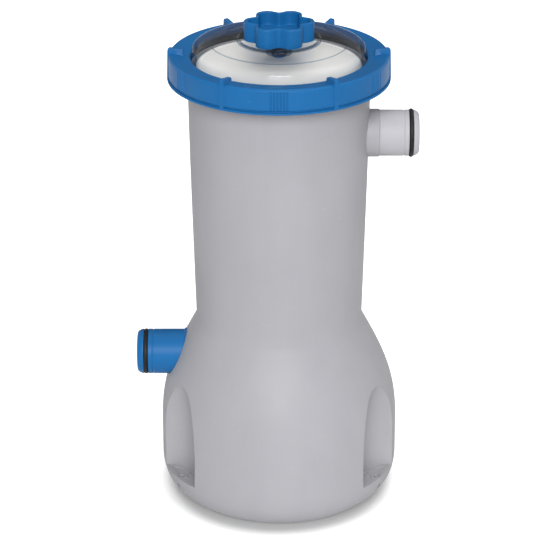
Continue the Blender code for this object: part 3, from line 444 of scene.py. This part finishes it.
GREY = plastic(
    "housing_grey", (0.305, 0.302, 0.322), 0.52, tone=0.035, soft=0.7, edge=0.1, gloss=0.25
)
PORT_GREY = plastic("port_grey", (0.37, 0.366, 0.39), 0.5, tone=0.04, grain=0.35, edge=0.1, gloss=0.25)
BLUE = plastic(
    "fitting_blue", (0.008, 0.108, 0.295), 0.4, tone=0.07, grain=0.35, edge=0.1, dust=0.02, gloss=0.14
)
RUBBER = rubber_coat("black_rubber")
DARK = plastic("dark_plastic", (0.028, 0.028, 0.032), 0.5, tone=0.2, grain=0.7)
CLEAR = clear_coat("clear_plastic")
WHITE = plastic("white_plastic", (0.93, 0.90, 0.85), 0.5, tone=0.03, grain=0.5)
PAPER = paper_coat("filter_paper")
STEEL = metal_coat("screw_steel", (0.42, 0.42, 0.43), (0.66, 0.66, 0.67), 0.32)
STATOR = metal_coat("stator_steel", (0.18, 0.18, 0.19), (0.36, 0.36, 0.38), 0.5, (0.1, 0.1, 14))
COPPER = metal_coat("winding_copper", (0.42, 0.14, 0.05), (0.72, 0.3, 0.12), 0.35, (1, 1, 9))
FERRITE = metal_coat("magnet_ferrite", (0.04, 0.04, 0.045), (0.08, 0.08, 0.085), 0.55)
BRONZE = metal_coat("bush_bronze", (0.38, 0.23, 0.08), (0.6, 0.42, 0.18), 0.42)


def settle(obj, coat, body, *nodes):
    """Paints the piece, puts it on its body and stands it for its CAD nodes."""
    obj.data.materials.clear()
    obj.data.materials.append(coat)
    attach(obj, body)
    if nodes:
        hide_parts(*nodes)
    return obj


# ---------------------------------------------------------------- housing


def bell_outline(inset, steps):
    """The bell's wall from the foot to the crease, moved in by the wall's thickness."""
    foot = (FOOT_R - inset, 0.0)
    rounded = (BELL_R - inset, BELL_ROUND_TOP)
    straight = (BELL_R - inset, BELL_STRAIGHT_TOP)
    rounding = bezier(foot, (FOOT_R - inset + 14.3, 7.5), (BELL_R - inset, 15.0), rounded, steps)
    shoulder = bezier(
        straight,
        (BELL_R - inset, 84.5 - inset / 2),
        (77.0 - inset, 100.5 - inset / 2),
        (CREASE_R - inset, CREASE_Z - inset / 2),
        steps,
    )
    return [foot, *rounding, straight, *shoulder]


def housing_body():
    wall_top = CANISTER_R - WALL
    profile = softened(
        [
            (0, 0),
            *bell_outline(0.0, 22),
            (CANISTER_MID, CANISTER_MID_Z, 30.0),
            (CANISTER_R, CANISTER_TOP, 1.0),
            (COLLAR_R, 312.0, 1.0),
            (COLLAR_R, RIM_Z, 0.6),
            (wall_top, RIM_Z, 0.6),
            (wall_top - 2.9, FLOOR_Z, 5.0),
            (SUMP_R, FLOOR_Z, 0.6),
            (SUMP_R, SUMP_TOP, 0.6),
            (SPIGOT_R, SUMP_TOP, 0.5),
            (SPIGOT_R, SPIGOT_TOP, 1.2),
            (OUTLET_R, SPIGOT_TOP, 0.6),
            (OUTLET_R, OUTLET_Z),
            (0, OUTLET_Z),
        ]
    )
    return turned("housing_body", divided(profile, 12), sides=240)


def add_scoop(bm, angle, grow, low):
    """A foot pocket's upright cylinder, drafted a little at its foot, up to its domed top."""
    reach, rise = SCOOP_R + grow, SCOOP_TOP - SCOOP_SPRING + grow
    steps = 28
    arch = []
    for i in range(steps):
        turn = 0.25 * TAU * i / steps
        height = SCOOP_SPRING + rise * math.sin(turn)
        draft = SCOOP_DRAFT * max(0.0, (DRAFT_TOP - height) / (DRAFT_TOP - LEDGE_Z))
        arch.append((reach * math.cos(turn) - draft, height))
    profile = [(0, low), (reach - SCOOP_DRAFT, low), *arch, (0, SCOOP_SPRING + rise)]
    add_turned(bm, profile, upright(angle, SCOOP_AT), sides=160, phase=0.5)


def ledge_recesses():
    """A shallow sunk floor in each ledge, inside a rim, with a raised seat left round the hole."""
    cuts = bmesh.new()
    sunk_floor = rod(SCOOP_R - 3.6, LEDGE_Z - 1.3, LEDGE_Z + 5)
    for angle in POCKET_ANGLES:
        add_turned(cuts, sunk_floor, upright(angle, SCOOP_AT), sides=96)
    sunk = made_object("ledge_recesses", cuts)
    within = turned("ledge_limit", rod(BELL_R - 3.2, LEDGE_Z - 5, LEDGE_Z + 9), sides=240, phase=0.5)
    seats = bmesh.new()
    seat = [(0, 20), (4.6, 20), (4.6, LEDGE_Z - 1.0), (4.0, LEDGE_Z - 0.3), (0, LEDGE_Z - 0.3)]
    for angle in POCKET_ANGLES:
        add_turned(seats, seat, upright(angle, FOOT_HOLE_AT), sides=48)
    return carved(sunk, ("INTERSECT", within), ("DIFFERENCE", made_object("ledge_seats", seats)))


def bell_hollow():
    """The hollow of the bell, less the solid blocks that stay inside it."""
    inside = bell_outline(WALL + 0.2, 14)
    under = CREASE_R - WALL - 0.2
    profile = [(0, -2), (inside[0][0], -2), *inside, (under, FLOOR_UNDER), (0, FLOOR_UNDER)]
    hollow = turned("bell_hollow", profile, sides=144, phase=0.5)
    blocks = bmesh.new()
    for angle in POCKET_ANGLES:
        add_scoop(blocks, angle, WALL, -20)
    for angle in (0, 90, 180, 270):
        add_box(blocks, (51, 104), (-4.5, 4.5), (3.3, 16), upright(angle))
    for angle in (45, 135, 225, 315):
        add_turned(blocks, rod(BOSS_R, BOSS_LOW, BLOCK_TOP), upright(angle, CASING_SCREW_AT), sides=24)
    add_turned(blocks, tube(16.2, 19.0, 166, BLOCK_TOP), sides=48)
    return carved(hollow, ("DIFFERENCE", made_object("bell_blocks", blocks)))


def housing_cuts():
    cuts = bmesh.new()
    for angle in POCKET_ANGLES:
        add_scoop(cuts, angle, 0.0, LEDGE_Z)
    for angle in (0, 90, 180, 270):
        add_turned(cuts, rod(SCREW_HOLE_R, -20, 14), upright(angle, BASE_SCREW_AT), sides=24)
    for angle in (45, 135, 225, 315):
        add_turned(cuts, rod(SCREW_HOLE_R, 121.4, 136.4), upright(angle, CASING_SCREW_AT), sides=24)
    add_turned(cuts, rod(14.3, 55, 90), lying("+X", UPPER_Z), sides=96, phase=0.5)
    add_turned(cuts, rod(PORT_R + 0.3, 54, LOWER_TIP), lying("-X", LOWER_Z), sides=96, phase=0.5)
    add_turned(cuts, rod(7.0, 74, 104), lying("+Y", GLAND_Z), sides=64, phase=0.5)
    add_turned(cuts, rod(13.0, FLOOR_UNDER - 1, 186), sides=64, phase=0.5)
    return made_object("housing_cuts", cuts)


def foot_holes():
    """A screw hole through each ledge, narrower in its lower end."""
    narrow, narrow_top = 1.3, 7
    hole = [
        (0, -20),
        (narrow, -20),
        (narrow, narrow_top),
        (FOOT_HOLE_R, narrow_top + 2),
        (FOOT_HOLE_R, LEDGE_Z + 5),
        (0, LEDGE_Z + 5),
    ]
    holes = bmesh.new()
    for angle in POCKET_ANGLES:
        add_turned(holes, hole, upright(angle, FOOT_HOLE_AT), sides=32)
    return made_object("foot_holes", holes)


def helical_lug(bm, start, low, inner, outer, thick, sweep=60.0, rise=1.5, steps=30):
    """One stretch of a coarse thread, from a start angle in degrees, with tapered ends."""
    bars = []
    for i in range(steps + 1):
        t = i / steps
        angle = math.radians(start + sweep * t)
        full = min(1.0, 5 * t + 0.25, 5 * (1 - t) + 0.25)
        middle = low + rise * t + thick / 2
        half = thick / 2 * full
        reach = outer - (1 - full) * (outer - inner) * 0.5
        section = (
            (inner, middle - half),
            (reach - 0.5, middle - half * 0.75),
            (reach, middle - half * 0.45),
            (reach, middle + half * 0.45),
            (reach - 0.5, middle + half * 0.75),
            (inner, middle + half),
        )
        bars.append(
            [
                bm.verts.new((r * math.cos(angle) * MM, r * math.sin(angle) * MM, z * MM))
                for r, z in section
            ]
        )
    for near, far in zip(bars, bars[1:]):
        for i in range(len(near)):
            j = (i + 1) % len(near)
            bm.faces.new((near[i], near[j], far[j], far[i]))
    bm.faces.new(bars[0])
    bm.faces.new(bars[-1][::-1])


def make_housing():
    extras = bmesh.new()
    boss_r, boss_end = 16.6, 69.0
    boss = softened([(0, 59), (boss_r, 59), (boss_r, boss_end, 0.5), (0, boss_end)])
    add_turned(extras, boss, lying("+X", UPPER_Z), sides=96)
    for start in (0, 90, 180, 270):
        helical_lug(extras, start, 314.2, COLLAR_R - 1, 69.8, 3.0)
    body = carved(
        housing_body(),
        ("DIFFERENCE", bell_hollow()),
        ("UNION", made_object("housing_extras", extras)),
        ("DIFFERENCE", housing_cuts()),
        ("DIFFERENCE", ledge_recesses()),
        ("DIFFERENCE", foot_holes()),
    )
    settle(body, GREY, "pump", "housing")


# ---------------------------------------------------------------- hose ports


SEAL_HALF, GROOVE_R = 1.6, 13.9
UPPER_SEAT, LOWER_SEAT = UPPER_TIP - 5.5, LOWER_TIP - 6.3


def port_end(tip, seat):
    """Profile points from behind the O-ring groove to the bore at the port's tip."""
    return [
        (PORT_R, seat - 5.4, 0.3),
        (PORT_R - 0.3, seat - 5.1, 0.2),
        (PORT_R - 0.3, seat - 4.7, 0.2),
        (PORT_R, seat - 4.4, 0.3),
        (PORT_R, seat - SEAL_HALF, 0.25),
        (GROOVE_R, seat - SEAL_HALF, 0.2),
        (GROOVE_R, seat + SEAL_HALF, 0.2),
        (PORT_R, seat + SEAL_HALF, 0.25),
        (PORT_R - 0.2, tip - 3.0, 0.7),
        (PORT_R - 1.3, tip - 0.9, 0.8),
        (PORT_R - 2.6, tip, 0.8),
        (PORT_BORE, tip, 0.5),
    ]


def pressed_ring(outer, seat, points=24):
    """An O-ring's section, flattened into its groove."""
    deep = 1.35
    made = []
    for i in range(points):
        across, along = math.cos(TAU * i / points), math.sin(TAU * i / points)
        along = math.copysign(abs(along) ** 0.8, along)
        made.append((outer - deep + deep * across, seat + (SEAL_HALF - 0.05) * along))
    return made


def make_ports():
    upper = [
        (PORT_BORE, 58, 0.4),
        (14.0, 58, 0.4),
        (14.0, 69.05),
        (PORT_R, 69.05, 0.2),
        *port_end(UPPER_TIP, UPPER_SEAT),
    ]
    port = turned("upper_port_tube", softened(upper), matrix=lying("+X", UPPER_Z), sides=144)
    settle(port, PORT_GREY, "pump", "upper_hose_port")
    wide, neck, bead = 13.2, 14.6, 16.9
    lower = [
        (wide, 54, 0.4),
        (neck, 54, 0.4),
        (neck, 65.2, 0.6),
        (bead, 65.7, 0.5),
        (bead, 67.0, 0.5),
        (PORT_R, 67.5, 0.3),
        *port_end(LOWER_TIP, LOWER_SEAT),
        (PORT_BORE, 62.2, 0.3),
        (wide, 62.2, 0.3),
    ]
    port = turned("lower_port_tube", softened(lower), matrix=lying("-X", LOWER_Z), sides=144)
    settle(port, BLUE, "pump", "lower_hose_connector")
    for name, node, outer, seat, direction, height in (
        ("upper_port_seal_ring", "upper_port_oring", 16.8, UPPER_SEAT, "+X", UPPER_Z),
        ("lower_port_seal_ring", "lower_port_oring", 16.15, LOWER_SEAT, "-X", LOWER_Z),
    ):
        seal = turned(name, pressed_ring(outer, seat), matrix=lying(direction, height), sides=144)
        settle(seal, RUBBER, "pump", node)


# ---------------------------------------------------------------- lock ring


def near(angle, degrees, count=6):
    """Distance in degrees to the nearest of count marks, the first at degrees."""
    step = 360.0 / count
    return (math.degrees(angle) - degrees + step / 2) % step - step / 2


def bump(distance, half, edge):
    """1 within half of a mark, falling to 0 over edge."""
    t = (abs(distance) - half) / edge
    if t <= 0:
        return 1.0
    return 0.5 + 0.5 * math.cos(math.pi * min(t, 1.0))


RIB_END, RIB_HALF = 64.8, 1.3
RING_LOW, RING_OUT, RING_IN = 311.3, 76.4, 60.5
RING_UNDER_R, RING_UNDER_Z = 72.8, 325.5
GRIP_PITCH, GRIP_DEPTH = 1.66, 0.55
GROOVES = [GRIP_PITCH * (k - 2.5) for k in range(6)]
RING_SIDES = 1440


def make_ring():
    """Six ribs run over the side and top; between them are groups of fine ridges on the side."""
    plain = [
        (RING_UNDER_R, RING_LOW, 0.3),
        (RING_OUT, RING_LOW, 0.5),
        (RING_OUT, 312.6, 0.4),
        (74.6, 312.9, 0.2),
        (74.6, 313.7, 0.2),
        (75.4, 314.0, 0.3),
        (75.2, 327.4, 0.6),
        (73.8, 328.8, 0.8),
        (RIB_END + 0.5, 327.6, 0.1),
        (RIB_END, 327.6, 0.1),
        (RING_IN, 327.2, 0.9),
        (RING_IN, RING_UNDER_Z, 0.3),
        (RING_UNDER_R, RING_UNDER_Z, 0.3),
    ]
    ribbed = [
        (RING_UNDER_R, RING_LOW, 0.3),
        (RING_OUT, RING_LOW, 0.5),
        (RING_OUT, 312.6, 0.1),
        (RING_OUT, 312.9, 0.1),
        (RING_OUT, 313.7, 0.1),
        (RING_OUT, 314.0, 0.1),
        (76.0, 331.3, 0.9),
        (74.6, 332.7, 0.9),
        (RIB_END + 0.5, 331.4, 0.6),
        (RIB_END, 327.8, 0.1),
        (RING_IN, 327.2, 0.9),
        (RING_IN, RING_UNDER_Z, 0.3),
        (RING_UNDER_R, RING_UNDER_Z, 0.3),
    ]
    sections = []
    for profile in (plain, ribbed):
        fine = []
        points = softened(profile, 5)
        for here, ahead in zip(points, points[1:] + points[:1]):
            fine += [Vector(here).lerp(Vector(ahead), k / 3) for k in range(3)]
        sections.append(fine)
    bm = bmesh.new()
    rows = []
    for low, high in zip(*sections):
        row = []
        for k in range(RING_SIDES):
            angle = TAU * k / RING_SIDES
            away = low.x * math.radians(near(angle, 0))
            point = low.lerp(high, bump(away, RIB_HALF, 0.6))
            if low.x > 74.9 and 313.9 < low.y < 327.5:
                fine = max(bump(near(angle, 30) - mark, 0.1, 0.45) for mark in GROOVES)
                point.x -= GRIP_DEPTH * fine * min(1.0, (327.5 - low.y) / 0.8)
            row.append(
                bm.verts.new(
                    (point.x * math.cos(angle) * MM, point.x * math.sin(angle) * MM, point.y * MM)
                )
            )
        rows.append(row)
    for low, high in zip(rows, rows[1:] + rows[:1]):
        for i in range(RING_SIDES):
            j = (i + 1) % RING_SIDES
            bm.faces.new((low[i], low[j], high[j], high[i]))
    for start in (0, 90, 180, 270):
        helical_lug(bm, start + 15, 311.5, 73.4, 70.4, 2.2)
    settle(made_object("lock_ring_body", bm), BLUE, "ring", "lock_ring")


# ---------------------------------------------------------------- lid and air valve


def make_lid():
    """A clear dome with a stepped top and a raised collar round the air valve, and its gasket."""
    flange, collar, collar_top, hole = 68.0, 28.6, 340.0, 5.3
    shoulder = bezier((59.6, 331.0), (59.4, 334.6), (56.0, 335.6), (47.2, 336.4), 14)
    under = bezier((47.2, 334.0), (54.4, 333.0), (57.0, 331.6), (57.2, 329.0), 12)
    profile = [
        (57.4, 322.6, 0.4),
        (flange, 322.6, 0.4),
        (flange, 325.1, 0.4),
        (59.8, 325.1, 0.3),
        (59.6, 331.0),
        *shoulder,
        (46.6, 337.2, 0.3),
        (collar, 337.6, 0.5),
        (collar, collar_top, 0.5),
        (27.0, collar_top, 0.5),
        (27.0, 337.6, 0.4),
        (hole, 337.6, 0.3),
        (hole, 328.6, 0.3),
        (9.0, 328.6, 0.5),
        (9.0, 335.2, 0.5),
        (44.6, 334.8, 0.3),
        (47.2, 334.0),
        *under,
    ]
    dome = turned("lid_dome_clear", softened(profile), sides=240)
    settle(dome, CLEAR, "lid", "lid_dome")
    gasket = turned("lid_gasket_ring", tube(60.2, 65.6, 320.8, 322.3, 0.45), sides=144)
    settle(gasket, RUBBER, "lid", "lid_gasket")


def knob_shape(angle, radius, height):
    """Six rounded lobes with tighter hollows between them."""
    if radius < 8.0:
        return radius, height
    wave = math.cos(6 * angle) - 0.18 * math.cos(12 * angle) + 0.18
    share = 1.0 if radius > 20 else 0.9
    return radius + 2.8 * wave * share, height


def make_valve():
    """The hollow lobed knob with its stem, and the washer it closes on."""
    mean, wall = 21.2, 2.5
    profile = [
        (0, 326.6),
        (4.9, 326.6, 1.0),
        (4.9, KNOB_FLOOR, 0.8),
        (mean - wall, KNOB_FLOOR, 0.5),
        (mean - wall, KNOB_LOW, 0.4),
        (mean, KNOB_LOW, 0.6),
        (mean, KNOB_TOP, 1.1),
        (mean - wall, KNOB_TOP, 0.9),
        (mean - wall - 0.4, KNOB_FLOOR + 1.6, 1.0),
        (0, KNOB_FLOOR + 1.6),
    ]
    knob = turned("air_valve_cap", divided(softened(profile), 2.5), sides=360, shape=knob_shape)
    settle(knob, BLUE, "knob", "air_valve_knob")
    washer = turned("valve_seat_washer", tube(5.6, 10.5, 337.9, 340.7, 0.5), sides=96)
    settle(washer, RUBBER, "valve", "valve_washer")


# ---------------------------------------------------------------- cartridge


def make_cartridge():
    """The two end caps: an open one below and a closed one, wide enough to centre, above."""
    cap, cap_low, cap_top = 56.6, 315.5, 321.0
    low = turned("cartridge_cap_low", tube(24.0, 53.0, 185.0, 190.5, 0.9), sides=192)
    settle(low, WHITE, "cartridge", "cartridge_bottom_cap")
    profile = softened(
        [
            (0, cap_low),
            (cap, cap_low, 0.9),
            (cap, cap_top, 1.0),
            (54.6, cap_top, 0.3),
            (54.2, 320.5, 0.3),
            (0, 320.5),
        ]
    )
    high = turned("cartridge_cap_high", profile, sides=240)
    settle(high, WHITE, "cartridge", "cartridge_top_cap")


# ---------------------------------------------------------------- the pieces kept from the CAD


def coat_kept():
    """Each CAD node that is shown as it is gets the coat of its own material."""
    by_slot = {
        "housing_grey": GREY,
        "fitting_blue": BLUE,
        "black_rubber": RUBBER,
        "dark_plastic": DARK,
        "clear_plastic": CLEAR,
        "white_plastic": WHITE,
        "filter_paper": PAPER,
        "screw_steel": STEEL,
        "stator_steel": STATOR,
        "winding_copper": COPPER,
        "magnet_ferrite": FERRITE,
        "bush_bronze": BRONZE,
    }
    for name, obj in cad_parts.items():
        if obj.hide_render:
            continue
        kind = obj.data.materials[0].name.split(".")[0]
        if kind not in by_slot:
            raise ValueError(f"{name} has an unknown material {kind}")
        coat = by_slot[kind]
        obj.data.materials.clear()
        obj.data.materials.append(coat)


# ---------------------------------------------------------------- floor, light and camera


SHADOW_REACH, SHADOW_LEAN = 0.1, (0.0, -0.6, 0.8)
FLOOR_GLOW = 0.6
AMBIENT, GLOSS_DIM, GLOSS_BRIGHT = 0.22, 0.16, 1.2
SUNS = (
    ("key", (0.0, -1.0, 0.58), 30, 3.3),
    ("top", (0.2, 0.1, 1.0), 70, 1.35),
)


def floor_coat():
    """White floor. To the camera it glows to plain white, but for a soft contact shadow."""
    coat = Coat("floor_white")
    shade = coat.node("ShaderNodeAmbientOcclusion", samples=16)
    shade.inputs["Distance"].default_value = SHADOW_REACH
    shade.inputs["Normal"].default_value = SHADOW_LEAN
    contact = coat.ramp(shade.outputs["AO"], (0.3, 0.45), (0.6, 0.85), (0.8, 1.0))
    eye = coat.node("ShaderNodeLightPath").outputs["Is Camera Ray"]
    seen = coat.mixed(eye, (1.0, 1.0, 1.0), contact)
    paint = coat.ramp(coat.noise(3, 2), (0.3, 0.91), (0.7, 0.93))
    coat.link(coat.mixed(1.0, paint, seen, "MULTIPLY"), coat.shader.inputs["Base Color"])
    coat.link(coat.ramp(coat.noise(4, 2), (0.3, 0.6), (0.7, 0.7)), coat.shader.inputs["Roughness"])
    lit = coat.number("MULTIPLY", contact, contact)
    glow = coat.number("MULTIPLY", lit, coat.number("MULTIPLY", eye, FLOOR_GLOW))
    coat.link(glow, coat.shader.inputs["Emission Strength"])
    coat.shader.inputs["Emission Color"].default_value = (1.0, 1.0, 1.0, 1.0)
    return coat.material


def make_world():
    """Even white light. Reflections see it bright at the left and right, and dim elsewhere."""
    world = bpy.data.worlds.new("studio")
    bpy.context.scene.world = world
    world.use_nodes = True
    nodes, links = world.node_tree.nodes, world.node_tree.links
    sky = nodes["Background"]
    sky.inputs["Color"].default_value = (1.0, 1.0, 1.0, 1.0)
    split = nodes.new("ShaderNodeSeparateXYZ")
    links.new(nodes.new("ShaderNodeTexCoord").outputs["Generated"], split.inputs[0])
    side = nodes.new("ShaderNodeMath")
    side.operation = "ABSOLUTE"
    links.new(split.outputs["X"], side.inputs[0])
    shine = nodes.new("ShaderNodeMapRange")
    shine.inputs["From Min"].default_value = 0.3
    shine.inputs["From Max"].default_value = 0.75
    shine.inputs["To Min"].default_value = GLOSS_DIM
    shine.inputs["To Max"].default_value = GLOSS_BRIGHT
    links.new(side.outputs[0], shine.inputs["Value"])
    strength = nodes.new("ShaderNodeMapRange")
    strength.inputs["To Min"].default_value = AMBIENT
    links.new(nodes.new("ShaderNodeLightPath").outputs["Is Glossy Ray"], strength.inputs["Value"])
    links.new(shine.outputs["Result"], strength.inputs["To Max"])
    links.new(strength.outputs["Result"], sky.inputs["Strength"])


def make_stage():
    bpy.ops.mesh.primitive_plane_add(size=12)
    floor = bpy.context.object
    floor.name = "floor"
    floor.data.materials.append(floor_coat())
    make_world()
    for name, place, spread, power in SUNS:
        lamp = bpy.data.lights.new(name, "SUN")
        lamp.angle = math.radians(spread)
        lamp.energy = power
        obj = bpy.data.objects.new(name, lamp)
        bpy.context.scene.collection.objects.link(obj)
        obj.location = place
        obj.rotation_euler = Vector(place).to_track_quat("Z", "Y").to_euler()


def make_camera():
    data = bpy.data.cameras.new("camera")
    data.lens = 165.1
    data.sensor_width = 36
    data.shift_x = -0.0073
    obj = bpy.data.objects.new("camera", data)
    bpy.context.scene.collection.objects.link(obj)
    obj.location = (0, -1.6303, 0.8831)
    obj.rotation_euler = (math.radians(66.19), 0, 0)
    bpy.context.scene.camera = obj


make_housing()
make_ports()
make_ring()
make_lid()
make_valve()
make_cartridge()
coat_kept()
make_stage()
make_camera()
bpy.context.scene.view_settings.view_transform = "Standard"
